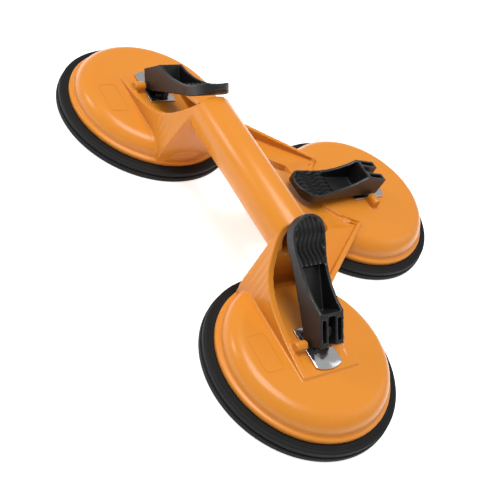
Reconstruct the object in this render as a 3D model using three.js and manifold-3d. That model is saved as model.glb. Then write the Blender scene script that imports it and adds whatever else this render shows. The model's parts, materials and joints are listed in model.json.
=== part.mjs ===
// Triple-cup vacuum lifter for glass and slabs: three suction cups, each locked by its own cam lever,
// joined by a tube handle. Millimetres. +Z up, +X along the handle, +Y towards the rear cup.
// The origin is on the sealing plane, at the centre of the whole lifter.
import * as THREE from "three";
import { mergeVertices } from "three/addons/utils/BufferGeometryUtils.js";
import Module from "manifold-3d";

const wasm = await Module();
wasm.setup();

// ---- Driving dimensions --------------------------------------------------------------------------
const GAP = 0.3; // assembly gap between neighbouring pieces
const CUP_X = 102; // half the spacing of the two cups under the handle
const REACH = 108; // from the handle's axis to the rear cup
const HANDLE_Y = -REACH / 2;
const REAR_Y = REACH / 2;

const PAD_RADIUS = 60;
const PAD_HEIGHT = 7.5;
const PAD_CAVITY_RADIUS = 51; // inside the sealing ring
const PAD_CAVITY_RISE = 2.6; // how far the locked pad's middle stands off the glass

const DISC_RADIUS = 53.8;
const DISC_LIP = 3.1; // thickness of the disc's rim flange
const SHOULDER_RADIUS = 49.4;
const CROWN_RADIUS = 41.5;
const DISC_TOP = 21.2;
const DISC_WALL = 2.4;

const WALL = 4.2; // bracket side walls
const BRACKET_HALF = 20.2; // half the bracket's width
const FLOOR_TOP = 22.8; // platform under the lever
const PLATFORM_REACH = 19.7; // platform beyond the cup's centre
const BRACKET_END = 49.2; // inner end of each bracket, from the lifter's middle
const WEB = 2.8; // bracket's end web
const END_SLOPE = 3.2; // how far the foot of the bracket's inner end stands back

const TUBE_Z = 52.8;
const TUBE_RADIUS = 13.2;
const TUBE_BORE = 10.9;
const COLLAR = 3; // ring of the bracket that shows outside the tube
const SPIGOT = 12; // how far the bracket's spigot enters the tube

const STUD_RADIUS = 4;
const STUD_FLAT = 4.4; // thickness of the stud's eye
const EYE_RADIUS = 3.9;
const PIN_RADIUS = 1.9;
const PIN_HALF = 6.2; // the pin ends inside the lever's feet
const WEAR_THICKNESS = 1;
const WEAR_HALF = 9.3;
const WEAR_REACH = 17.3; // beyond the stud, on the platform's side
const WEAR_BACK = 10.8; // and under the lever
const PIVOT_Z = 34.4;

const SIDE_PITCH = 38.5; // the locked side levers, in degrees above the horizontal
const REAR_PITCH = 3.5; // the rear lever folds down over its bracket's plate
const LEVER_HALF = 8.4; // half the width over the feet
const FEET_GAP = 5.2;
const PADDLE_HALF = 11.5;
const LEVER_TIP = 64.2; // from the pivot
const LEVER_WALL = 1.9;

const BOSS_RADIUS = 2.9; // guide bosses that keep the lever central
const BOSS_INNER = 9.7;
const BOSS_OUTER = 17.5;
const BOSS_Z = 26.4;

const BRACE_RIM = 3; // thickness of the brace's upstanding edges
const BRACE_WIDTH = 20;

// ---- Finishes ------------------------------------------------------------------------------------
const finish = (color, roughness, metalness) => new THREE.MeshStandardMaterial({ color, roughness, metalness });
const orangePaint = finish(0xf08a1c, 0.35, 0.1);
const blackPlastic = finish(0x141416, 0.45, 0);
const rubber = finish(0x2b2b2d, 0.8, 0);
const brightSteel = finish(0xd9dadc, 0.22, 1);
const zincSteel = finish(0x9a9ca0, 0.4, 1);
const darkSteel = finish(0x1d1d1f, 0.4, 1);

// ---- Solids --------------------------------------------------------------------------------------
/** A closed three.js geometry as a manifold solid, turned right side out. */
function solid(geometry) {
  geometry.deleteAttribute("normal");
  geometry.deleteAttribute("uv");
  const merged = mergeVertices(geometry, 1e-4);
  const vertProperties = new Float32Array(merged.attributes.position.array);
  const triVerts = new Uint32Array(merged.index.array);
  const corner = (i) => new THREE.Vector3().fromArray(vertProperties, 3 * triVerts[i]);
  let volume = 0;
  for (let i = 0; i < triVerts.length; i += 3) volume += corner(i).dot(corner(i + 1).cross(corner(i + 2)));
  if (volume < 0) for (let i = 0; i < triVerts.length; i += 3) triVerts.subarray(i, i + 2).reverse();
  return new wasm.Manifold(new wasm.Mesh({ numProp: 3, vertProperties, triVerts }));
}

/** Revolves [radius, z] points, which start and end on the Z axis. */
function turned(points, segments = 48) {
  const profile = points.map(([radius, z]) => new THREE.Vector2(radius, z));
  return solid(new THREE.LatheGeometry(profile, segments).rotateX(Math.PI / 2));
}

/** Extrudes an outline of [a, z] points along Y, between two y values. */
function plate(outline, y0, y1) {
  const shape = outline instanceof THREE.Shape ? outline : new THREE.Shape(outline.map(([a, z]) => new THREE.Vector2(a, z)));
  const geometry = new THREE.ExtrudeGeometry(shape, { depth: y1 - y0, bevelEnabled: false, curveSegments: 8 });
  return solid(geometry.rotateX(Math.PI / 2).translate(0, y1, 0));
}

/** Extrudes an outline of [x, y] points along Z, between two z values. */
function slab(outline, z0, z1) {
  const shape = outline instanceof THREE.Shape ? outline : new THREE.Shape(outline.map(([x, y]) => new THREE.Vector2(x, y)));
  return solid(new THREE.ExtrudeGeometry(shape, { depth: z1 - z0, bevelEnabled: false, curveSegments: 8 }).translate(0, 0, z0));
}

function block(x0, x1, y0, y1, z0, z1) {
  const geometry = new THREE.BoxGeometry(x1 - x0, y1 - y0, z1 - z0);
  return solid(geometry.translate((x0 + x1) / 2, (y0 + y1) / 2, (z0 + z1) / 2));
}

const upright = (radius, z0, z1, segments = 32) =>
  solid(new THREE.CylinderGeometry(radius, radius, z1 - z0, segments).rotateX(Math.PI / 2).translate(0, 0, (z0 + z1) / 2));

/** A cylinder parallel to Y. */
const crosswise = (radius, x, z, y0, y1, segments = 24) =>
  solid(new THREE.CylinderGeometry(radius, radius, y1 - y0, segments).translate(x, (y0 + y1) / 2, z));

/** A cylinder parallel to X. */
const lengthwise = (radius, y, z, x0, x1, segments = 48) =>
  solid(new THREE.CylinderGeometry(radius, radius, x1 - x0, segments).rotateZ(Math.PI / 2).translate((x0 + x1) / 2, y, z));

/** Joins rings of equal length into one closed skin, with a flat cap at each end. */
function loft(rings) {
  const count = rings[0].length;
  const positions = rings.flat(2);
  const index = [];
  for (let r = 0; r + 1 < rings.length; r++) {
    for (let i = 0; i < count; i++) {
      const [a, b] = [r * count + i, r * count + ((i + 1) % count)];
      index.push(a, b, b + count, a, b + count, a + count);
    }
  }
  const cap = (ring, start, flip) => {
    const flat = ring.map(([, y, z]) => new THREE.Vector2(y, z));
    for (const [a, b, c] of THREE.ShapeUtils.triangulateShape(flat, [])) {
      index.push(start + a, start + (flip ? c : b), start + (flip ? b : c));
    }
  };
  cap(rings[0], 0, true);
  cap(rings[rings.length - 1], (rings.length - 1) * count, false);
  const geometry = new THREE.BufferGeometry();
  geometry.setAttribute("position", new THREE.Float32BufferAttribute(positions, 3));
  geometry.setIndex(index);
  return solid(geometry);
}

const lifter = new THREE.Group();
lifter.name = "vacuum_lifter";

/** Adds a solid to a group as a named mesh. */
function add(group, name, material, body) {
  const { vertProperties, triVerts } = body.getMesh();
  const geometry = new THREE.BufferGeometry();
  geometry.setAttribute("position", new THREE.BufferAttribute(new Float32Array(vertProperties), 3));
  geometry.setIndex(new THREE.BufferAttribute(new Uint32Array(triVerts), 1));
  geometry.computeVertexNormals();
  const mesh = new THREE.Mesh(geometry, material);
  mesh.name = name;
  group.add(mesh);
}

// ---- Cup: everything below is in a cup's own frame ------------------------------------------------
// Z is the cup's axis. The lever points along -X, towards the handle, and the platform's far edge is at +X.

const discBase = PAD_HEIGHT + GAP;

/** The disc's outer surface from rim to crown, as [radius, z] points, grown by a clearance. */
function discSurface(grow) {
  const points = [[DISC_RADIUS + grow, discBase - grow]];
  const lipTop = discBase + DISC_LIP;
  points.push([DISC_RADIUS + grow, lipTop - 0.9], [DISC_RADIUS - 0.8, lipTop + grow], [SHOULDER_RADIUS + 0.6 + grow, lipTop + grow]);
  const steps = 5;
  const [across, up] = [SHOULDER_RADIUS - CROWN_RADIUS, DISC_TOP - lipTop - 0.6];
  for (let i = 0; i <= steps; i++) {
    const angle = (i / steps) * (Math.PI / 2);
    points.push([CROWN_RADIUS + (across + grow) * Math.cos(angle), lipTop + 0.6 + (up + grow) * Math.sin(angle)]);
  }
  return points;
}

function suctionPad() {
  return turned([
    [0, PAD_CAVITY_RISE],
    [24, PAD_CAVITY_RISE],
    [44, 1.5],
    [PAD_CAVITY_RADIUS, 1],
    [PAD_CAVITY_RADIUS + 1, 0],
    [PAD_RADIUS - 0.8, 0],
    [PAD_RADIUS, 0.8],
    [PAD_RADIUS, 3.4],
    [PAD_RADIUS - 0.6, 3.8],
    [PAD_RADIUS - 0.6, PAD_HEIGHT - 0.9],
    [PAD_RADIUS - 1.4, PAD_HEIGHT],
    [0, PAD_HEIGHT],
  ]);
}

/** A pressed dish, open underneath, with a hole for the stud. */
function coverDisc() {
  const inner = [
    [0, discBase - 1],
    [SHOULDER_RADIUS - 3, discBase - 1],
    [SHOULDER_RADIUS - 3, discBase + DISC_LIP],
    [CROWN_RADIUS - 1, DISC_TOP - DISC_WALL],
    [0, DISC_TOP - DISC_WALL],
  ];
  const outer = turned([[0, discBase], ...discSurface(0), [0, DISC_TOP]]);
  return outer.subtract(turned(inner)).subtract(upright(STUD_RADIUS + 1, 0, DISC_TOP + 1));
}

const plateBase = PAD_HEIGHT + GAP;
const PLATE_TOP = plateBase + 2;

/** The steel plate that grips the pad's middle. */
const backingPlate = () => turned([[0, plateBase], [27, plateBase], [28, plateBase + 1], [27, PLATE_TOP], [0, PLATE_TOP]], 48);

/** A round stud with a flattened eye at its top. */
function drawStud() {
  const wearTop = FLOOR_TOP + GAP + WEAR_THICKNESS;
  const shank = upright(STUD_RADIUS, PLATE_TOP + GAP, wearTop);
  const foot = upright(STUD_RADIUS + 4, PLATE_TOP + GAP, PLATE_TOP + 2.2);
  const neck = block(-STUD_RADIUS + 0.4, STUD_RADIUS - 0.4, -STUD_FLAT / 2, STUD_FLAT / 2, wearTop - 1, PIVOT_Z);
  const eye = crosswise(EYE_RADIUS, 0, PIVOT_Z, -STUD_FLAT / 2, STUD_FLAT / 2);
  const bore = crosswise(PIN_RADIUS + GAP, 0, PIVOT_Z, -STUD_FLAT, STUD_FLAT);
  return shank.add(foot).add(neck).add(eye).subtract(bore);
}

/** The bright strip that the lever's feet press on, with an arc at its far end. */
function wearPlate() {
  const z0 = FLOOR_TOP + GAP;
  const endRadius = 2 * WEAR_HALF;
  const strip = block(-WEAR_BACK, WEAR_REACH, -WEAR_HALF, WEAR_HALF, z0, z0 + WEAR_THICKNESS);
  const end = upright(endRadius, z0 - 1, z0 + 2, 96).translate([WEAR_REACH - endRadius, 0, 0]);
  const back = block(-WEAR_BACK, 0, -WEAR_HALF, WEAR_HALF, z0 - 1, z0 + 2);
  return strip.intersect(end.add(back)).subtract(upright(STUD_RADIUS + 0.7, z0 - 1, z0 + 2));
}

const pivotPin = () => crosswise(PIN_RADIUS, 0, PIVOT_Z, -PIN_HALF, PIN_HALF);

// ---- Lever: its own frame has s along the lever from the pivot and t square to it ------------------
/** Side view of the lever, with the feet at s below 9 and the thumb paddle past s of 40. */
function leverSide() {
  const side = new THREE.Shape();
  side.moveTo(-5.4, -7.9);
  side.quadraticCurveTo(-7.0, -7.7, -7.2, -6.2);
  side.lineTo(-7.8, 5.2);
  side.lineTo(10.4, 8.3);
  side.bezierCurveTo(17, 3.6, 26, -1, 42, -2.2);
  side.quadraticCurveTo(52, -2.8, LEVER_TIP - 3.4, -0.4);
  side.quadraticCurveTo(LEVER_TIP, 0, LEVER_TIP, -2.6);
  side.quadraticCurveTo(LEVER_TIP - 0.4, -5.6, LEVER_TIP - 5.4, -6.8);
  side.quadraticCurveTo(52, -8.6, 46, -8.7);
  side.lineTo(0, -8.2);
  return side;
}

/** Plan view of the lever: straight feet, a slow taper and a round paddle. */
function leverPlan() {
  const plan = new THREE.Shape();
  const centre = LEVER_TIP - PADDLE_HALF;
  plan.moveTo(-9, -LEVER_HALF);
  plan.lineTo(9, -LEVER_HALF);
  plan.lineTo(28, -LEVER_HALF - 0.9);
  plan.quadraticCurveTo(40, -PADDLE_HALF + 1.4, 45, -PADDLE_HALF + 0.3);
  plan.quadraticCurveTo(50, -PADDLE_HALF, centre, -PADDLE_HALF);
  plan.absarc(centre, 0, PADDLE_HALF, -Math.PI / 2, Math.PI / 2, false);
  plan.quadraticCurveTo(50, PADDLE_HALF, 45, PADDLE_HALF - 0.3);
  plan.quadraticCurveTo(40, PADDLE_HALF - 1.4, 28, LEVER_HALF + 0.9);
  plan.lineTo(9, LEVER_HALF);
  plan.lineTo(-9, LEVER_HALF);
  return plan;
}

/** The lever in its own frame: s is +X, t is +Z. */
function leverBlank() {
  const body = plate(leverSide(), -20, 20).intersect(slab(leverPlan(), -20, 20));
  const between = block(-12, 8.4, -FEET_GAP / 2, FEET_GAP / 2, -12, 12);
  const half = LEVER_HALF - LEVER_WALL;
  const trough = slab([[10.3, -half], [28, -half - 0.9], [36, -half - 1.3], [36, half + 1.3], [28, half + 0.9], [10.3, half]], -6.3, 12);
  const bore = crosswise(PIN_RADIUS + GAP, 0, 0, -PIN_HALF - GAP, PIN_HALF + GAP);
  let lever = body.subtract(between).subtract(trough).subtract(bore);
  for (const side of [-1, 1]) {
    const middle = (side * (LEVER_HALF + FEET_GAP / 2)) / 2;
    lever = lever.subtract(block(-5.6, 7, middle - 1.3, middle + 1.3, 3, 12));
  }
  return lever;
}

/** Turns a lever-frame solid to its place in the cup's frame, pointing along -X and up by a pitch. */
function leverInCup(body, pitch) {
  return body.mirror([1, 0, 0]).rotate([0, pitch, 0]).translate([0, 0, PIVOT_Z]);
}

// ---- Castings --------------------------------------------------------------------------------------
/** The bracket wall's top edge: distance d from the cup's centre towards the handle, and height. */
function wallTop() {
  const edge = new THREE.Path();
  edge.moveTo(-PLATFORM_REACH - 1, FLOOR_TOP);
  edge.lineTo(-12, FLOOR_TOP + 0.2);
  edge.bezierCurveTo(8, 25, 31, 31, 41.5, 43.5);
  edge.bezierCurveTo(46, 49, 50, 55, CUP_X - BRACKET_END - 0.2, 61.5);
  return edge.getPoints(14).map((p) => [-p.x, p.y]);
}

/** Removes the disc and its clearance from a casting that stands on it. */
const overDisc = (casting) => {
  const crown = [...discSurface(GAP), [0, DISC_TOP + GAP]];
  return casting.subtract(turned([[0, -5], [DISC_RADIUS + 9, -5], [DISC_RADIUS + 9, discBase + DISC_LIP - 0.9], ...crown.slice(1)]));
};

/** One cross-section of the bracket at x, with its walls leaning in to the tube, set in by a margin. */
function bracketSection(x, lean, inset) {
  const half = BRACKET_HALF - inset;
  const radius = TUBE_RADIUS - inset;
  const kneeZ = 20.5;
  const topHalf = half - lean * (BRACKET_HALF - TUBE_RADIUS);
  const right = [[x, half, 0], [x, half, kneeZ], [x, topHalf, TUBE_Z]];
  for (let i = 1; i < 8; i++) {
    const angle = (i / 8) * Math.PI;
    right.push([x, topHalf * Math.cos(angle), TUBE_Z + radius * Math.sin(angle)]);
  }
  return [...right, [x, -topHalf, TUBE_Z], [x, -half, kneeZ], [x, -half, 0]];
}

/** Adds the two round-topped lugs that stand on the platform beside the lever's feet. */
function withGuideBosses(bracket) {
  const lug = crosswise(BOSS_RADIUS, 1, BOSS_Z, BOSS_INNER, BOSS_OUTER, 20);
  const foot = block(1 - BOSS_RADIUS, 1 + BOSS_RADIUS, BOSS_INNER, BOSS_OUTER, FLOOR_TOP - 1, BOSS_Z);
  const boss = lug.add(foot);
  return bracket.add(boss).add(boss.mirror([0, 1, 0]));
}

/** How far the side bracket's walls lean in at x, from 1 at the tube to 0 over the cup. */
function leanAt(x, near) {
  const along = Math.min(1, (x - near) / 34);
  return (1 - along ** 1.6) ** 3;
}

/** Bracket over a side cup: a channel whose walls sweep up to hold the handle tube. Cup's frame. */
function sideBracket() {
  const near = -(CUP_X - BRACKET_END);
  const stations = [0, 4, 8, 12, 16, 20, 25, 30].map((step) => near + step);
  const outer = loft([...stations, PLATFORM_REACH].map((x) => bracketSection(x, leanAt(x, near), 0)));
  const hollowStart = near + WEB + END_SLOPE;
  const hollow = [hollowStart, ...stations.filter((x) => x > hollowStart), PLATFORM_REACH + 9];
  const inner = loft(hollow.map((x) => bracketSection(x, leanAt(x, near), WALL)));
  const floor = block(-40, PLATFORM_REACH, -BRACKET_HALF, BRACKET_HALF, 0, FLOOR_TOP);
  const endCut = plate([[near - 1, -1], [near + END_SLOPE, -1], [near + END_SLOPE, 12], [near, TUBE_Z - 5], [near - 1, TUBE_Z - 5]], -30, 30);
  let bracket = outer.subtract(inner).add(floor).subtract(endCut);
  const sky = [...wallTop(), [near, 61.5], [near, 90], [PLATFORM_REACH + 9, 90], [PLATFORM_REACH + 9, FLOOR_TOP]];
  bracket = bracket.subtract(plate(sky, -30, 30));
  const ring = lengthwise(TUBE_RADIUS, 0, TUBE_Z, near - COLLAR, near + 0.4);
  const spigot = lengthwise(TUBE_BORE - GAP, 0, TUBE_Z, near - COLLAR - SPIGOT, near);
  bracket = bracket.add(ring).add(spigot);
  bracket = bracket.subtract(lengthwise(TUBE_BORE - 2.2, 0, TUBE_Z, near - COLLAR - SPIGOT - 1, hollowStart + 1));
  bracket = bracket.subtract(upright(STUD_RADIUS + 1, 0, FLOOR_TOP + 1));
  bracket = withGuideBosses(bracket);
  const slope = [[PLATFORM_REACH - 1.6, 30], [PLATFORM_REACH - 1.6, FLOOR_TOP], [PLATFORM_REACH, DISC_TOP], [PLATFORM_REACH + 9, DISC_TOP], [PLATFORM_REACH + 9, 30]];
  return overDisc(bracket.subtract(plate(slope, -30, 30)));
}

/** Rear bracket: a plate over the rear cup that sweeps up to the side of the handle tube. Cup's frame. */
function rearBracket() {
  const toTube = -REACH;
  const side = new THREE.Shape();
  side.moveTo(PLATFORM_REACH, 0);
  side.lineTo(PLATFORM_REACH, DISC_TOP);
  side.lineTo(PLATFORM_REACH - 1.6, FLOOR_TOP);
  side.lineTo(-38, FLOOR_TOP);
  side.bezierCurveTo(-56, 23, -74, 36, -98, 47);
  side.lineTo(toTube, 49);
  side.lineTo(toTube, 41);
  side.bezierCurveTo(-88, 38, -62, 31, -54, 12);
  side.lineTo(-52, 0);
  let bracket = plate(side, -BRACKET_HALF, BRACKET_HALF);
  bracket = bracket.subtract(crosswise(TUBE_RADIUS + GAP, toTube, TUBE_Z, -40, 40, 48));
  bracket = bracket.subtract(upright(STUD_RADIUS + 1, 0, FLOOR_TOP + 1));
  bracket = withGuideBosses(bracket);
  return overDisc(bracket);
}

/** A strip between an open line of [x, y] points and the same line moved sideways, as a plan outline. */
const strip = (line, [dx, dy]) => [...line, ...[...line].reverse().map(([x, y]) => [x + dx, y + dy])];

/**
 * Brace from the rear bracket to a side bracket: a level band over the cups, with an upstanding outer rim
 * that curls back at the rear towards the rear bracket. Lifter's frame, +X side.
 */
function brace() {
  const rear = { x: BRACKET_HALF + GAP, outerX: 28.9, y: HANDLE_Y + 88.9, rimTop: 25 };
  const front = { x: 79.6, y: HANDLE_Y + BRACKET_HALF + GAP, rimTop: 32.8 };
  const curl = new THREE.Path();
  curl.moveTo(rear.outerX, rear.y);
  curl.quadraticCurveTo(rear.x + 3.6, HANDLE_Y + 83.4, rear.x, HANDLE_Y + 79.6);
  const back = curl.getPoints(6).map((p) => [p.x, p.y]);
  const outer = [[front.x, front.y], [rear.outerX, rear.y]];
  const inner = [[26.5, HANDLE_Y + 62], [front.x - BRACE_WIDTH, front.y]];
  const plan = slab([...outer, ...back.slice(1), [rear.x, HANDLE_Y + 62], ...inner], 0, 60);
  const along = new THREE.Vector2(front.x - rear.outerX, front.y - rear.y).normalize();
  const shift = [along.y * BRACE_RIM, -along.x * BRACE_RIM];
  const underside = FLOOR_TOP - 3.4;
  const band = plan.intersect(block(0, 100, -100, 100, underside, FLOOR_TOP));
  const lengthSide = (outline) => plate(outline, -100, 0).rotate([0, 0, 90]);
  const rimSide = lengthSide([[front.y - 5, underside - 5], [rear.y + 5, underside - 3], [rear.y + 5, rear.rimTop - 0.6], [front.y - 5, front.rimTop + 0.6]]);
  const rim = slab(strip(outer, shift), 0, 60).intersect(plan).intersect(rimSide);
  const web = slab(strip(inner, [-shift[0], -shift[1]]), underside - 5, FLOOR_TOP).intersect(plan);
  const curlSide = lengthSide([[rear.y, underside], [rear.y, rear.rimTop], [HANDLE_Y + 79, FLOOR_TOP + 0.9], [HANDLE_Y + 76, underside]]);
  const curlWall = slab(strip(back, [1.2, -BRACE_RIM]), 0, 60).intersect(plan).intersect(curlSide);
  return band.add(rim).add(web).add(curlWall);
}

/** Cuts a lifter-frame solid clear of the disc of the cup at x, y. */
const clearOfDisc = (body, x, y) => overDisc(body.translate([-x, -y, 0])).translate([x, y, 0]);

/** The handle tube, open at both ends. */
function handleTube() {
  const half = BRACKET_END - COLLAR - GAP;
  return lengthwise(TUBE_RADIUS, 0, TUBE_Z, -half, half).subtract(lengthwise(TUBE_BORE, 0, TUBE_Z, -half - 1, half + 1));
}

// ---- Assembly --------------------------------------------------------------------------------------
const cups = [
  { side: "left", x: -CUP_X, y: HANDLE_Y, turn: Math.PI, bracket: sideBracket, pitch: SIDE_PITCH },
  { side: "right", x: CUP_X, y: HANDLE_Y, turn: 0, bracket: sideBracket, pitch: SIDE_PITCH },
  { side: "rear", x: 0, y: REAR_Y, turn: Math.PI / 2, bracket: rearBracket, pitch: REAR_PITCH },
];
for (const { side, x, y, turn, bracket, pitch } of cups) {
  const cup = new THREE.Group();
  cup.position.set(x, y, 0);
  cup.rotation.z = turn;
  add(cup, `${side}_suction_pad`, rubber, suctionPad());
  add(cup, `${side}_backing_plate`, zincSteel, backingPlate());
  add(cup, `${side}_cover_disc`, orangePaint, coverDisc());
  add(cup, `${side}_bracket`, orangePaint, bracket());
  add(cup, `${side}_draw_stud`, darkSteel, drawStud());
  add(cup, `${side}_wear_plate`, brightSteel, wearPlate());
  add(cup, `${side}_pivot_pin`, darkSteel, pivotPin());
  add(cup, `${side}_lever`, blackPlastic, leverInCup(leverBlank(), pitch));
  lifter.add(cup);
}

const handle = new THREE.Group();
handle.position.y = HANDLE_Y;
add(handle, "handle_tube", orangePaint, handleTube());
lifter.add(handle);

const rightBrace = clearOfDisc(clearOfDisc(brace(), 0, REAR_Y), CUP_X, HANDLE_Y);
add(lifter, "right_brace", orangePaint, rightBrace);
add(lifter, "left_brace", orangePaint, rightBrace.mirror([1, 0, 0]));

export default lifter;
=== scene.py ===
"""Looks for a three-cup vacuum lifter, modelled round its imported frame."""

import json
import logging
import math
from dataclasses import dataclass, field
from enum import Enum

import bpy
from mathutils import Matrix, Vector


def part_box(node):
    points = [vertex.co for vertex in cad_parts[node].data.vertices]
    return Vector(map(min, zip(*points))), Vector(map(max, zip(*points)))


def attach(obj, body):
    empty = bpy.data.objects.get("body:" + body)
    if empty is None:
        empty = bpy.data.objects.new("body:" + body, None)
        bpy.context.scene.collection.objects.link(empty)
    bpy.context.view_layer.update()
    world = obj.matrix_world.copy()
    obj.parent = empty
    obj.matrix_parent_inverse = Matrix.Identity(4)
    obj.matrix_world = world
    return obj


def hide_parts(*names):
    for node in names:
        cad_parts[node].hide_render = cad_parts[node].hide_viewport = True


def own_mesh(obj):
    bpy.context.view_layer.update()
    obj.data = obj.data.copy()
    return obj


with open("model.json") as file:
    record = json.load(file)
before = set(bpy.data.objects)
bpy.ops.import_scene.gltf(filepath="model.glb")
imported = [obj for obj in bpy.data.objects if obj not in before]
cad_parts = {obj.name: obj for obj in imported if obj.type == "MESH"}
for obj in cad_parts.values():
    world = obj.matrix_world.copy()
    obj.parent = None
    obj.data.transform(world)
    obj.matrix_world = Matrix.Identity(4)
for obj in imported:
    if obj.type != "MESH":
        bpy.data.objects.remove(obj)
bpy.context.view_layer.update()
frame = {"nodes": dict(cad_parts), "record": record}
LOG = logging.getLogger("lifter")

MM = 0.001
AXIS_Z = Vector((0.0, 0.0, 1.0))
MERGE_DISTANCE = 0.000002
SMOOTH_ANGLE = math.radians(40.0)
SIDE_LEVER_PITCH = math.radians(38.5)
REAR_LEVER_PITCH = math.radians(3.5)


class Side(Enum):
    """The three cups, each by the name that its CAD nodes start with."""

    LEFT = "left"
    RIGHT = "right"
    REAR = "rear"


# ---- Shader maths ----------------------------------------------------------------------------------


@dataclass
class Graph:
    """One material's node tree."""

    material: bpy.types.Material

    @classmethod
    def new(cls, name: str) -> "Graph":
        """Starts an empty material.

        Args:
            name: the material's name.

        Returns:
            The graph, which holds only an output node.
        """
        material = bpy.data.materials.new(name)
        material.use_nodes = True
        material.node_tree.nodes.clear()
        return cls(material)

    def node(self, kind: str, settings: dict | None = None, **sockets) -> bpy.types.Node:
        """Adds a node.

        Args:
            kind: the node's type.
            settings: attributes to set before the sockets, such as an operation or a ramp's stops.
            sockets: input values or fields by socket name, with spaces written as underscores.

        Returns:
            The new node.
        """
        made = self.material.node_tree.nodes.new(kind)
        for key, value in (settings or {}).items():
            if key == "stops":
                self._stops(made.color_ramp, value)
            else:
                setattr(made, key, value)
        for key, value in sockets.items():
            self.feed(made.inputs[key.replace("_", " ")], value)
        return made

    def feed(self, socket: bpy.types.NodeSocket, value: object) -> None:
        """Sets an input socket to a value, or links a field to it."""
        if isinstance(value, Field):
            self.material.node_tree.links.new(value.socket, socket)
        elif isinstance(value, tuple) and len(value) == 3 and socket.type == "RGBA":
            socket.default_value = (*value, 1.0)
        else:
            socket.default_value = value

    @staticmethod
    def _stops(ramp: bpy.types.ColorRamp, stops: list[tuple[float, tuple]]) -> None:
        """Fills a colour ramp from (position, colour) pairs."""
        while len(ramp.elements) > 1:
            ramp.elements.remove(ramp.elements[-1])
        for i, (position, colour) in enumerate(stops):
            element = ramp.elements[0] if i == 0 else ramp.elements.new(position)
            element.position = position
            element.color = (*colour, 1.0)

    def place(self) -> "Field":
        """The point being shaded, in metres, in the lifter's frame."""
        return Field(self, self.node("ShaderNodeTexCoord").outputs["Object"])

    def noise(self, scale: float, detail: float = 2.0, roughness: float = 0.5) -> "Field":
        """A noise field from about 0 to 1.

        Args:
            scale: how many grains lie in a metre.
            detail: octaves.
            roughness: how strong the fine octaves are.

        Returns:
            The field.
        """
        made = self.node(
            "ShaderNodeTexNoise", Vector=self.place(), Scale=scale, Detail=detail, Roughness=roughness
        )
        return Field(self, made.outputs["Fac"])

    def mix(self, share: "Field", low: tuple, high: tuple) -> "Field":
        """A colour between two, by a field."""
        made = self.node("ShaderNodeMix", {"data_type": "RGBA"})
        self.feed(made.inputs[0], share)
        self.feed(made.inputs[6], low)
        self.feed(made.inputs[7], high)
        return Field(self, made.outputs[2])

    def bump(self, height: "Field", distance: float, strength: float = 1.0) -> "Field":
        """A surface normal from a height field."""
        made = self.node("ShaderNodeBump", Height=height, Distance=distance, Strength=strength)
        return Field(self, made.outputs["Normal"])

    def principled(self, **sockets) -> bpy.types.Material:
        """Ends the graph in a principled shader.

        Args:
            sockets: the shader's inputs by name, with spaces written as underscores.

        Returns:
            The finished material.
        """
        shader = self.node("ShaderNodeBsdfPrincipled", **sockets)
        output = self.node("ShaderNodeOutputMaterial")
        self.material.node_tree.links.new(shader.outputs["BSDF"], output.inputs["Surface"])
        return self.material


@dataclass
class Field:
    """A socket that can be used in an expression."""

    graph: Graph
    socket: bpy.types.NodeSocket

    def _maths(self, operation: str, first: object, second: object = 0.0, clamp: bool = False) -> "Field":
        """Adds a Math node.

        Args:
            operation: the node's operation.
            first: the first value or field.
            second: the second value or field.
            clamp: whether the result is kept from 0 to 1.

        Returns:
            The result.
        """
        made = self.graph.node("ShaderNodeMath", {"operation": operation, "use_clamp": clamp})
        self.graph.feed(made.inputs[0], first)
        self.graph.feed(made.inputs[1], second)
        return Field(self.graph, made.outputs[0])

    def __add__(self, other: "Field | float") -> "Field":
        """Sum."""
        return self._maths("ADD", self, other)

    __radd__ = __add__

    def __sub__(self, other: "Field | float") -> "Field":
        """Difference."""
        return self._maths("SUBTRACT", self, other)

    def __rsub__(self, other: "Field | float") -> "Field":
        """Difference the other way round."""
        return self._maths("SUBTRACT", other, self)

    def __mul__(self, other: "Field | float") -> "Field":
        """Product."""
        return self._maths("MULTIPLY", self, other)

    __rmul__ = __mul__

    def clipped(self) -> "Field":
        """The field kept from 0 to 1."""
        return self._maths("ADD", self, 0.0, clamp=True)

    def above(self, low: float, high: float) -> "Field":
        """A mask that rises from 0 at low to 1 at high."""
        return ((self - low) * (1.0 / (high - low))).clipped()


# ---- Finishes --------------------------------------------------------------------------------------


@dataclass(frozen=True)
class PowderCoat:
    """Semi-gloss orange powder coat: a fine orange peel with a slight drift in tone."""

    name: str = "orange_powder_coat"
    deep: tuple[float, float, float] = (0.60, 0.205, 0.018)
    pale: tuple[float, float, float] = (0.66, 0.235, 0.024)
    roughness: float = 0.26
    peel_scale: float = 900.0
    peel_depth: float = 0.00012

    def build(self) -> bpy.types.Material:
        """Makes the material."""
        graph = Graph.new(self.name)
        drift = graph.noise(18.0, detail=3.0)
        peel = graph.noise(self.peel_scale, detail=2.0)
        speck = graph.noise(5200.0, detail=1.0).above(0.62, 0.7)
        return graph.principled(
            Base_Color=graph.mix(drift, self.deep, self.pale),
            Roughness=self.roughness + drift * 0.08 + speck * 0.1,
            Normal=graph.bump(peel, self.peel_depth, 0.35),
            Coat_Weight=0.12,
            Coat_Roughness=0.15,
            Specular_IOR_Level=0.3,
        )


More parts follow.
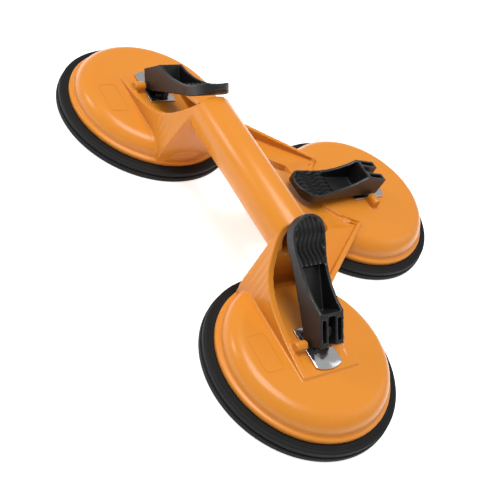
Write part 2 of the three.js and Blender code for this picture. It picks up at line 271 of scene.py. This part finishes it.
@dataclass(frozen=True)
class MouldedPlastic:
    """Black satin plastic with a fine spark-eroded grain."""

    name: str = "black_plastic"
    dark: tuple[float, float, float] = (0.003, 0.003, 0.0035)
    light: tuple[float, float, float] = (0.007, 0.007, 0.008)
    roughness: float = 0.36

    def build(self) -> bpy.types.Material:
        """Makes the material."""
        graph = Graph.new(self.name)
        drift = graph.noise(60.0, detail=3.0)
        grain = graph.noise(3800.0, detail=2.0)
        return graph.principled(
            Base_Color=graph.mix(drift, self.dark, self.light),
            Roughness=self.roughness + grain * 0.12,
            Normal=graph.bump(grain, 0.00006, 0.4),
            Specular_IOR_Level=0.5,
        )


@dataclass(frozen=True)
class CupRubber:
    """Dark grey moulded rubber, dusty on its flats."""

    name: str = "cup_rubber"
    dark: tuple[float, float, float] = (0.003, 0.003, 0.0031)
    dusty: tuple[float, float, float] = (0.009, 0.009, 0.0093)
    roughness: float = 0.62

    def build(self) -> bpy.types.Material:
        """Makes the material."""
        graph = Graph.new(self.name)
        dust = graph.noise(45.0, detail=4.0, roughness=0.6)
        grain = graph.noise(2600.0, detail=2.0)
        return graph.principled(
            Base_Color=graph.mix(dust, self.dark, self.dusty),
            Roughness=self.roughness + dust * 0.15,
            Normal=graph.bump(grain, 0.0001, 0.4),
            Specular_IOR_Level=0.25,
        )


@dataclass(frozen=True)
class PolishedSteel:
    """Bright polished strip with fine rubbed marks."""

    name: str = "bright_steel"
    tint: tuple[float, float, float] = (0.82, 0.82, 0.83)
    worn: tuple[float, float, float] = (0.68, 0.68, 0.70)
    roughness: float = 0.12

    def build(self) -> bpy.types.Material:
        """Makes the material."""
        graph = Graph.new(self.name)
        smear = graph.noise(220.0, detail=3.0)
        marks = graph.noise(1500.0, detail=2.0)
        return graph.principled(
            Base_Color=graph.mix(smear, self.tint, self.worn),
            Metallic=1.0,
            Roughness=self.roughness + smear * 0.08,
            Normal=graph.bump(marks, 0.00002, 0.3),
        )


@dataclass(frozen=True)
class DarkSteel:
    """Black-oxide steel of the studs and pins."""

    name: str = "dark_steel"
    dark: tuple[float, float, float] = (0.03, 0.03, 0.032)
    rubbed: tuple[float, float, float] = (0.09, 0.09, 0.095)

    def build(self) -> bpy.types.Material:
        """Makes the material."""
        graph = Graph.new(self.name)
        cloud = graph.noise(400.0, detail=4.0)
        return graph.principled(
            Base_Color=graph.mix(cloud, self.dark, self.rubbed),
            Metallic=1.0,
            Roughness=0.32 + cloud * 0.16,
            Normal=graph.bump(cloud, 0.00004, 0.3),
        )


@dataclass(frozen=True)
class ZincPlate:
    """Dull zinc-plated steel."""

    name: str = "zinc_steel"
    bright: tuple[float, float, float] = (0.5, 0.51, 0.53)
    dull: tuple[float, float, float] = (0.36, 0.37, 0.39)

    def build(self) -> bpy.types.Material:
        """Makes the material."""
        graph = Graph.new(self.name)
        cloud = graph.noise(300.0, detail=4.0)
        return graph.principled(
            Base_Color=graph.mix(cloud, self.bright, self.dull),
            Metallic=1.0,
            Roughness=0.3 + cloud * 0.2,
            Normal=graph.bump(cloud, 0.00005, 0.4),
        )


@dataclass(frozen=True)
class PaleFloor:
    """The plain pale floor that the lifter stands on."""

    name: str = "pale_floor"
    colour: tuple[float, float, float] = (0.9, 0.9, 0.9)
    glow: float = 0.6

    def build(self) -> bpy.types.Material:
        """Makes the material."""
        graph = Graph.new(self.name)
        return graph.principled(
            Base_Color=self.colour,
            Roughness=0.9,
            Emission_Color=(1.0, 1.0, 1.0),
            Emission_Strength=self.glow,
        )


# ---- Modelling -------------------------------------------------------------------------------------


def activate(*objects: bpy.types.Object) -> None:
    """Selects these objects alone, the first one active."""
    bpy.ops.object.select_all(action="DESELECT")
    for item in objects:
        item.select_set(True)
    bpy.context.view_layer.objects.active = objects[0]


def tidy_mesh(piece: bpy.types.Object) -> None:
    """Merges a piece's doubled points and turns its faces outwards."""
    activate(piece)
    bpy.ops.object.mode_set(mode="EDIT")
    bpy.ops.mesh.select_all(action="SELECT")
    bpy.ops.mesh.remove_doubles(threshold=MERGE_DISTANCE)
    bpy.ops.mesh.normals_make_consistent(inside=False)
    bpy.ops.object.mode_set(mode="OBJECT")


def copy_of(node: str, name: str) -> bpy.types.Object:
    """Copies a CAD node as a merged mesh that can be worked on.

    Args:
        node: the CAD node's name.
        name: the copy's name.

    Returns:
        The copy.
    """
    copy = bpy.data.objects.new(name, frame["nodes"][node].data.copy())
    bpy.context.scene.collection.objects.link(copy)
    copy.data.materials.clear()
    tidy_mesh(copy)
    return copy


def join(pieces: list[bpy.types.Object]) -> bpy.types.Object:
    """Joins pieces into the first one."""
    activate(*pieces)
    bpy.ops.object.join()
    return bpy.context.object


def modify(piece: bpy.types.Object, kind: str, **settings) -> None:
    """Adds a modifier and applies it.

    Args:
        piece: the piece.
        kind: the modifier's type.
        settings: its attributes.
    """
    modifier = piece.modifiers.new(kind.lower(), kind)
    for key, value in settings.items():
        setattr(modifier, key, value)
    activate(piece)
    bpy.ops.object.modifier_apply(modifier=modifier.name)


def cast(piece: bpy.types.Object, grain: float, softening: int) -> None:
    """Fuses a piece's overlapping solids into one skin with soft edges and fillets.

    Args:
        piece: the piece.
        grain: the voxel size in metres.
        softening: smoothing passes.
    """
    modify(piece, "REMESH", mode="VOXEL", voxel_size=grain, adaptivity=0.0)
    modify(piece, "SMOOTH", factor=0.5, iterations=softening)


def thin(piece: bpy.types.Object, most_triangles: int) -> None:
    """Thins a cast skin to about this many triangles."""
    triangles = 2 * len(piece.data.polygons)
    if triangles > most_triangles:
        modify(piece, "DECIMATE", ratio=most_triangles / triangles)


def finish_piece(
    piece: bpy.types.Object,
    body: str,
    material: bpy.types.Material,
    stands_for: tuple[str, ...] = (),
) -> None:
    """Shades and dresses a piece, and hangs it on its CAD body.

    Args:
        piece: the piece.
        body: the CAD body that it moves with.
        material: its finish.
        stands_for: the CAD nodes that it is shown in place of.
    """
    activate(piece)
    bpy.ops.object.shade_smooth_by_angle(angle=SMOOTH_ANGLE)
    piece.data.materials.clear()
    piece.data.materials.append(material)
    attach(piece, body)
    if stands_for:
        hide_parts(*stands_for)
    LOG.info("%s: %d faces on %s", piece.name, len(piece.data.polygons), body)


def revolve(
    name: str, profile: list[tuple[float, float]], centre: Vector, steps: int = 192
) -> bpy.types.Object:
    """Spins a closed profile about a vertical axis.

    Args:
        name: the piece's name.
        profile: (radius, height) points in millimetres, in order round the section.
        centre: where the axis meets the floor.
        steps: segments round the axis.

    Returns:
        The ring, with its faces outwards.
    """
    points = [centre + Vector((radius * MM, 0.0, height * MM)) for radius, height in profile]
    bpy.ops.object.select_all(action="DESELECT")
    bpy.ops.mesh.primitive_plane_add(size=0.001, location=(0.0, 0.0, 0.0))
    piece = bpy.context.object
    piece.name = name
    bpy.ops.object.mode_set(mode="EDIT")
    bpy.ops.mesh.select_all(action="SELECT")
    bpy.ops.mesh.merge(type="CENTER")
    bpy.ops.transform.translate(value=points[0])
    for start, end in zip(points, points[1:] + points[:1]):
        bpy.ops.mesh.extrude_region_move(TRANSFORM_OT_translate={"value": end - start})
    bpy.ops.mesh.select_all(action="SELECT")
    bpy.ops.mesh.remove_doubles(threshold=MERGE_DISTANCE)
    bpy.ops.mesh.select_all(action="SELECT")
    bpy.ops.mesh.spin(steps=steps, angle=math.tau, center=centre, axis=AXIS_Z)
    bpy.ops.object.mode_set(mode="OBJECT")
    tidy_mesh(piece)
    return piece


def arc(
    centre: tuple[float, float], reach: tuple[float, float], start: float, end: float, steps: int
) -> list[tuple[float, float]]:
    """Points on an elliptical arc in a profile.

    Args:
        centre: (radius, height) of the arc's middle.
        reach: its half axes along radius and height.
        start: first angle, in degrees from outwards towards up.
        end: last angle.
        steps: how many segments.

    Returns:
        The points.
    """
    angles = [math.radians(start + (end - start) * i / steps) for i in range(steps + 1)]
    return [(centre[0] + reach[0] * math.cos(a), centre[1] + reach[1] * math.sin(a)) for a in angles]


# ---- Pieces ----------------------------------------------------------------------------------------


@dataclass(frozen=True)
class Cup:
    """One suction cup, with the level way from it to the handle and its lever's slope at rest."""

    side: Side
    towards_handle: Vector
    pitch: float

    @property
    def name(self) -> str:
        """The word that its CAD nodes start with."""
        return self.side.value

    @property
    def centre(self) -> Vector:
        """The cup's middle on the sealing plane, from its pad's box."""
        low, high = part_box(f"{self.name}_suction_pad")
        return Vector(((low[0] + high[0]) / 2, (low[1] + high[1]) / 2, 0.0))

    @property
    def pivot(self) -> Vector:
        """The lever's axis, from its pin's box."""
        low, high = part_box(f"{self.name}_pivot_pin")
        return Vector([(a + b) / 2 for a, b in zip(low, high)])


CUPS = (
    Cup(Side.LEFT, Vector((1.0, 0.0, 0.0)), SIDE_LEVER_PITCH),
    Cup(Side.RIGHT, Vector((-1.0, 0.0, 0.0)), SIDE_LEVER_PITCH),
    Cup(Side.REAR, Vector((0.0, -1.0, 0.0)), REAR_LEVER_PITCH),
)


@dataclass
class SuctionPad:
    """The moulded rubber pad: a sealing lip, a side band split by a groove, and a ribbed top flange."""

    radius: float = 60.0
    height: float = 7.5
    cavity_radius: float = 51.0
    cavity_rise: float = 2.6
    cavity_flat: float = 24.0
    groove: float = 3.7
    rib_insets: tuple[float, float] = (2.6, 3.9)
    rib_depth: float = 0.22

    def profile(self) -> list[tuple[float, float]]:
        """The section of the pad, in millimetres."""
        r, h = self.radius, self.height
        points = [(0.0, self.cavity_rise), (self.cavity_flat, self.cavity_rise), (40.0, 1.9)]
        edge = self.cavity_radius
        points += [(edge - 1.5, 1.0), (edge + 0.5, 0.25), (edge + 1.2, 0.0)]
        points += arc((r - 1.0, 1.0), (1.0, 1.0), -90, 0, 6)
        points += arc((r - 0.5, self.groove - 0.5), (0.5, 0.3), 0, 90, 3)
        points += [(r - 1.1, self.groove), (r - 1.1, self.groove + 0.35)]
        points += arc((r - 1.0, self.groove + 0.75), (0.4, 0.35), -90, 0, 3)
        points += arc((r - 1.6, h - 1.0), (1.0, 1.0), 0, 90, 6)
        for inset in self.rib_insets:
            outer, low = r - inset, h - self.rib_depth
            points += [(outer, h), (outer - 0.2, low), (outer - 0.5, low), (outer - 0.7, h)]
        return points + [(0.0, h)]

    def build(self, cup: Cup, material: bpy.types.Material) -> None:
        """Makes one cup's pad.

        It does not move with its stud: the stud's travel is read, but the pad is left as it is.
        In the real motion the middle alone is pushed down and the rim stays.
        """
        piece = revolve(f"{cup.name}_rubber_pad", self.profile(), cup.centre)
        finish_piece(piece, "root", material, (f"{cup.name}_suction_pad",))
        joint = f"{cup.name}_stud_slide"
        rows = frame["record"]["behaviour"]["joints"]
        travel = next(row["range_m"][1] for row in rows if row["name"] == joint)
        keep = 1.0 - travel / (self.height * MM)
        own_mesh(piece)


@dataclass
class Casting:
    """The painted castings: a bracket fused to its domed disc, and at the rear the two braces as well."""

    disc_radius: float = 53.8
    base: float = 7.8
    lip: float = 3.1
    shoulder: float = 50.7
    crown: float = 41.5
    top: float = 21.2
    wall: float = 2.4
    stud_hole: float = 5.0
    overlap: float = 0.35
    rear_lift: float = 1.2
    crease_start: float = 14.5
    crease_curve: float = 0.0265
    crease_half: float = 29.0
    step: float = 1.5
    tube_reach: float = 0.6
    tube_bite: float = 1.0
    side_reach: float = 0.5
    side_bite: float = 1.2
    front_bite: float = 3.0
    grain: float = 0.0005
    softening: int = 4
    most_triangles: int = 150000
    most_rear_triangles: int = 190000

    def dish(self, cup: Cup) -> bpy.types.Object:
        """Spins the domed disc, a little proud so that it fuses with the bracket on it."""
        grow, lip_top = self.overlap, self.base + self.lip
        r = self.disc_radius
        top = self.top + grow + (self.rear_lift if cup.side is Side.REAR else 0.0)
        shoulder_reach = (self.shoulder - self.crown + grow, top - lip_top - 1.2)
        profile = [(r - 3.0, self.base), (r, self.base)]
        profile += arc((r - 1.2, lip_top - 1.2), (1.2, 1.2), 0, 90, 6)
        profile += arc((self.shoulder + 0.8 + grow, lip_top + 0.8), (0.8, 0.8), -90, -180, 4)
        profile += arc((self.crown, lip_top + 1.2), shoulder_reach, 4, 90, 24)
        profile += [(self.stud_hole, top), (self.stud_hole, self.top - self.wall)]
        profile += [(self.crown - 1.0, self.top - self.wall)]
        profile += arc((self.crown - 1.0, lip_top), (6.0, self.top - self.wall - lip_top), 90, 0, 10)
        profile += [(self.crown + 5.0, self.base)]
        return revolve(f"{cup.name}_dish", profile, cup.centre)

    def side_head(self, cup: Cup) -> bpy.types.Object:
        """Fuses a side bracket and its disc."""
        head = join([copy_of(f"{cup.name}_bracket", f"{cup.name}_casting"), self.dish(cup)])
        cast(head, self.grain, self.softening)
        thin(head, self.most_triangles)
        return head

    def rear_head(self, cup: Cup) -> bpy.types.Object:
        """Fuses the rear bracket, its disc and both braces, with their ends run into what they meet."""
        tube_low, tube_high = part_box("handle_tube")
        axis = Vector((0.0, (tube_low[1] + tube_high[1]) / 2, (tube_low[2] + tube_high[2]) / 2))
        radius = (tube_high[2] - tube_low[2]) / 2
        bracket = copy_of("rear_bracket", "rear_casting")
        for point in bracket.data.vertices:
            out = Vector((0.0, point.co.y - axis.y, point.co.z - axis.z))
            if out.length < radius + self.tube_reach * MM:
                out *= (radius - self.tube_bite * MM) / out.length
                point.co.y, point.co.z = axis.y + out.y, axis.z + out.z
        rear_side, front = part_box("rear_bracket")[1][0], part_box("left_brace")[0][1]
        braces = [copy_of(f"{side}_brace", f"{side}_brace_copy") for side in ("left", "right")]
        for brace in braces:
            for point in brace.data.vertices:
                if abs(point.co.x) < rear_side + self.side_reach * MM:
                    point.co.x *= 1.0 - self.side_bite * MM / rear_side
                if point.co.y < front + 0.1 * MM:
                    point.co.y -= self.front_bite * MM
        head = join([bracket, *braces, self.dish(cup)])
        cast(head, self.grain, self.softening)
        self.press_crease(head)
        thin(head, self.most_rear_triangles)
        return head

    def press_crease(self, head: bpy.types.Object) -> None:
        """Steps the plate down on the handle's side of a bowed line between the braces' rear corners."""
        top = self.top * MM
        upward = [point for point in head.data.vertices if point.co.z > top and point.normal.z > 0.6]
        for point in upward:
            across, along = abs(point.co.x) / MM, point.co.y / MM
            if across > self.crease_half:
                continue
            past = self.crease_start + self.crease_curve * across * across - along
            rise = min(1.0, max(0.0, past / 0.8))
            fade = min(1.0, max(0.0, (30.0 - past) / 20.0))
            fade *= min(1.0, (self.crease_half - across) / 3.0)
            point.co.z -= self.step * rise * fade * MM

    def build(self, cup: Cup, material: bpy.types.Material) -> None:
        """Makes one cup's casting."""
        stands_for = [f"{cup.name}_bracket", f"{cup.name}_cover_disc"]
        if cup.side is Side.REAR:
            head = self.rear_head(cup)
            stands_for += ["left_brace", "right_brace"]
        else:
            head = self.side_head(cup)
        finish_piece(head, "root", material, tuple(stands_for))


@dataclass
class HandleTube:
    """The tube handle, run up to the brackets over their collars."""

    proud: float = 0.12
    collar: float = 3.3
    wall: float = 2.2

    def build(self, material: bpy.types.Material) -> None:
        """Makes the tube."""
        low, high = (Vector(corner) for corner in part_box("handle_tube"))
        bpy.ops.object.select_all(action="DESELECT")
        bpy.ops.mesh.primitive_cylinder_add(
            vertices=192,
            radius=(high.z - low.z) / 2 + self.proud * MM,
            depth=high.x - low.x + 2 * self.collar * MM,
            end_fill_type="NOTHING",
            location=(low + high) / 2,
            rotation=(0.0, math.pi / 2, 0.0),
        )
        tube = bpy.context.object
        tube.name = "handle_tube_skin"
        bpy.ops.object.transform_apply(location=True, rotation=True, scale=True)
        modify(tube, "SOLIDIFY", thickness=self.wall * MM, offset=-1.0)
        modify(tube, "BEVEL", width=0.3 * MM, segments=3, limit_method="ANGLE")
        tidy_mesh(tube)
        finish_piece(tube, "root", material, ("handle_tube",))


@dataclass
class CamLever:
    """A moulded lever whose thumb paddle has wavy ribs along it."""

    grain: float = 0.0004
    softening: int = 3
    most_triangles: int = 120000
    first: float = 35.0
    paddle_centre: float = 52.7
    paddle_half: float = 11.4
    border: float = 1.3
    pitch: float = 3.2
    depth: float = 2.1
    sway: float = 1.3
    wave: float = 17.0

    def groove(self, along: float, across: float) -> float:
        """How deep the ribs' grooves are at a point of the paddle, in millimetres."""
        past = max(0.0, along - self.paddle_centre)
        taper = max(0.0, self.paddle_centre - along - 4.0) * 0.11
        inside = self.paddle_half - math.hypot(past, across) - taper
        edge = min(1.0, max(0.0, (inside - self.border) / 0.7))
        start = min(1.0, max(0.0, (along - self.first) / 1.0))
        phase = (across - self.sway * math.sin(math.tau * along / self.wave)) / self.pitch
        return self.depth * edge * start * (0.5 - 0.5 * math.cos(math.tau * phase)) ** 0.55

    def build(self, cup: Cup, material: bpy.types.Material) -> None:
        """Makes one cup's lever."""
        lever = copy_of(f"{cup.name}_lever", f"{cup.name}_lever_moulding")
        cast(lever, self.grain, self.softening)
        out = cup.towards_handle * math.cos(cup.pitch) + AXIS_Z * math.sin(cup.pitch)
        up = AXIS_Z * math.cos(cup.pitch) - cup.towards_handle * math.sin(cup.pitch)
        side = out.cross(up)
        pivot = cup.pivot
        sunk = []
        for point in lever.data.vertices:
            offset = (point.co - pivot) / MM
            along, across = offset.dot(out), offset.dot(side)
            if along > self.first and point.normal.dot(up) > 0.5 and offset.dot(up) > -6.6:
                sunk.append((point, self.groove(along, across)))
        for point, depth in sunk:
            point.co -= up * depth * MM
        modify(lever, "SMOOTH", factor=0.4, iterations=1)
        thin(lever, self.most_triangles)
        finish_piece(lever, f"{cup.name}_lever", material, (f"{cup.name}_lever",))


@dataclass
class WearPlate:
    """The polished strip under the lever's feet, with its edges broken."""

    edge: float = 0.2
    least_corner: float = 50.0

    def build(self, cup: Cup, material: bpy.types.Material) -> None:
        """Makes one cup's strip."""
        strip = copy_of(f"{cup.name}_wear_plate", f"{cup.name}_polished_strip")
        modify(
            strip,
            "BEVEL",
            width=self.edge * MM,
            segments=2,
            limit_method="ANGLE",
            angle_limit=math.radians(self.least_corner),
        )
        finish_piece(strip, "root", material, (f"{cup.name}_wear_plate",))


@dataclass
class LabelFrame:
    """A faint raised outline on a side disc, where a label would go."""

    length: float = 24.0
    width: float = 12.5
    corner: float = 3.0
    line: float = 0.45
    rise: float = 0.15
    inboard: float = 3.0
    forward: float = 32.3
    crown: float = 21.55

    def build(self, cup: Cup, material: bpy.types.Material) -> None:
        """Makes the outline on one cup's disc, in front of its bracket."""
        offset = cup.towards_handle * self.inboard + Vector((0.0, -self.forward, self.crown))
        place = cup.centre + offset * MM
        bpy.ops.object.select_all(action="DESELECT")
        bpy.ops.mesh.primitive_plane_add(size=1.0, location=place)
        label = bpy.context.object
        label.name = f"{cup.name}_label_outline"
        label.scale = (self.length * MM, self.width * MM, 1.0)
        bpy.ops.object.transform_apply(location=True, rotation=True, scale=True)
        bpy.ops.object.mode_set(mode="EDIT")
        bpy.ops.mesh.select_all(action="SELECT")
        bpy.ops.mesh.bevel(offset=self.corner * MM, segments=8, affect="VERTICES")
        bpy.ops.mesh.select_all(action="SELECT")
        bpy.ops.mesh.inset(thickness=self.line * MM)
        bpy.ops.mesh.delete(type="FACE")
        bpy.ops.object.mode_set(mode="OBJECT")
        modify(label, "SOLIDIFY", thickness=2 * self.rise * MM, offset=0.0)
        finish_piece(label, "root", material)


# ---- Studio ----------------------------------------------------------------------------------------


@dataclass
class Studio:
    """Camera, lights and floor."""

    eye: Vector = field(default_factory=lambda: Vector((0.2745, -0.3773, 0.3774)))
    aim: Vector = field(default_factory=lambda: Vector((0.01806, -0.03758, 0.0)))
    roll: float = math.radians(31.415)
    lens: float = 66.5
    floor_size: float = 12.0
    floor_drop: float = 0.00005
    sky: float = 0.42
    lamps: tuple[tuple, ...] = (
        ("key", (-0.1, -0.1, 1.2), 0.7, 13.5),
        ("strip", (-0.7, -0.75, 0.55), 0.25, 2.2),
        ("rim", (0.3, 0.9, 0.7), 0.6, 1.2),
    )

    def place_camera(self) -> None:
        """Sets the scene's camera at the eye, looking at the aim point, rolled."""
        bpy.ops.object.camera_add(location=self.eye)
        camera = bpy.context.object
        camera.data.lens = self.lens
        camera.data.clip_start, camera.data.clip_end = 0.01, 20.0
        look = (self.aim - self.eye).to_track_quat("-Z", "Y").to_matrix().to_4x4()
        turn = Matrix.Rotation(self.roll, 4, "Z")
        camera.matrix_world = Matrix.Translation(self.eye) @ look @ turn
        bpy.context.scene.camera = camera

    def light(self) -> None:
        """Adds the lamps, each a name, place, size and power, and a pale world."""
        for name, place, size, power in self.lamps:
            bpy.ops.object.light_add(type="AREA", location=place)
            lamp = bpy.context.object
            lamp.name = name
            lamp.data.size, lamp.data.energy = size, power
            lamp.rotation_euler = (-Vector(place)).to_track_quat("-Z", "Y").to_euler()
        world = bpy.data.worlds.new("studio")
        world.use_nodes = True
        background = world.node_tree.nodes["Background"]
        background.inputs["Color"].default_value = (1.0, 1.0, 1.0, 1.0)
        background.inputs["Strength"].default_value = self.sky
        bpy.context.scene.world = world

    def lay_floor(self) -> None:
        """Lays the floor under the cups."""
        bpy.ops.mesh.primitive_plane_add(size=self.floor_size, location=(0.0, 0.0, -self.floor_drop))
        floor = bpy.context.object
        floor.name = "floor"
        floor.data.materials.append(PaleFloor().build())

    def build(self) -> None:
        """Makes the whole studio."""
        bpy.ops.object.select_all(action="DESELECT")
        self.place_camera()
        self.light()
        self.lay_floor()
        bpy.context.scene.view_settings.view_transform = "Standard"


def main() -> None:
    """Builds the lifter and its studio."""
    logging.basicConfig(level=logging.INFO, format="%(name)s: %(message)s")
    Studio().build()
    paint, plastic, rubber = PowderCoat().build(), MouldedPlastic().build(), CupRubber().build()
    bright, zinc, dark = PolishedSteel().build(), ZincPlate().build(), DarkSteel().build()
    finishes = {
        "orange_powder_coat": paint,
        "black_plastic": plastic,
        "cup_rubber": rubber,
        "bright_steel": bright,
        "zinc_steel": zinc,
        "dark_steel": dark,
    }
    slots = {part["node"]: part["material_slot"] for part in frame["record"]["subparts"]}
    for name, node in frame["nodes"].items():
        node.data.materials.clear()
        node.data.materials.append(finishes[slots[name]])
    for cup in CUPS:
        SuctionPad().build(cup, rubber)
        Casting().build(cup, paint)
        WearPlate().build(cup, bright)
        CamLever().build(cup, plastic)
        if cup.side is not Side.REAR:
            LabelFrame().build(cup, paint)
    HandleTube().build(paint)


if __name__ == "__main__":
    main()
